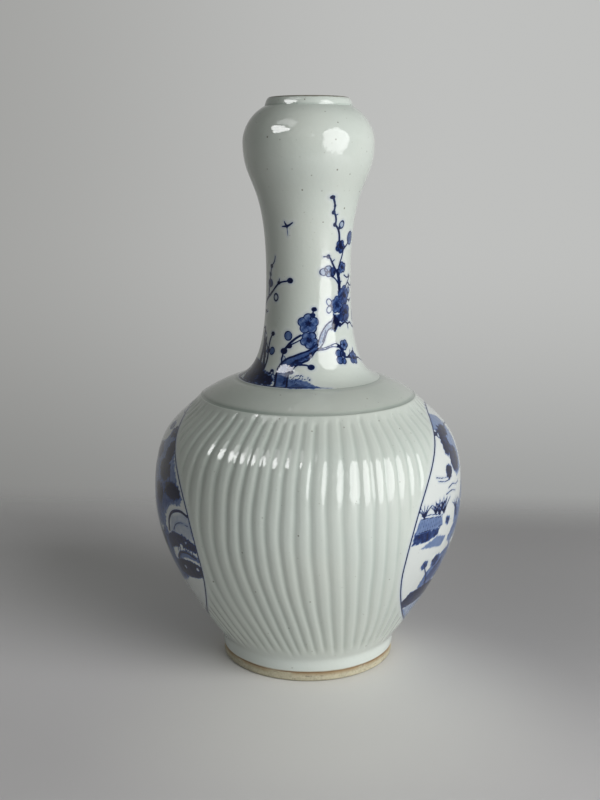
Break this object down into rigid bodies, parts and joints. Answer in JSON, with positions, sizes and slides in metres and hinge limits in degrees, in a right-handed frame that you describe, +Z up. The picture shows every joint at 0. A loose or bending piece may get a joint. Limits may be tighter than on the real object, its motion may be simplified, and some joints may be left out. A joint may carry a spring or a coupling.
{
  "type": "garlic head vase",
  "caption": "Free-standing glazed porcelain bottle vase with a bulbous garlic mouth, slender neck, sloping collar, ribbed belly with smooth oval side panels and a bare foot ring.",
  "frame": {"origin": "centre of the foot's bearing edge, on the surface that the vase stands on", "axes": "+Z up along the turning axis; +X and -X out through the middles of the two smooth panels; -Y out of the front ribbed field"},
  "size_m": [0.1446, 0.1445, 0.26],
  "materials": {
    "body_glaze": "glossy pale greenish-white glaze over carved ribs, with cobalt painting under the glaze on the two panels",
    "collar_glaze": "glossy pale greenish-white glaze",
    "painted_neck_glaze": "glossy pale glaze over cobalt-blue branches and blossom",
    "clear_glaze": "glossy pale greenish-white glaze with a few dark specks",
    "bare_foot": "glazed band above, bare buff bearing edge burnt orange at the glaze line",
    "luting_slip": "unglazed fired slip"
  },
  "bodies": {
    "root": {"base_floor": "clear_glaze", "foot_ring": "bare_foot", "lower_body": "body_glaze", "upper_body": "body_glaze", "shoulder_collar": "collar_glaze", "neck": "painted_neck_glaze", "garlic_head": "clear_glaze", "mouth_rim": "clear_glaze", "belly_joint_slip": "luting_slip", "collar_joint_slip": "luting_slip", "head_joint_slip": "luting_slip"}
  },
  "joints": []
}
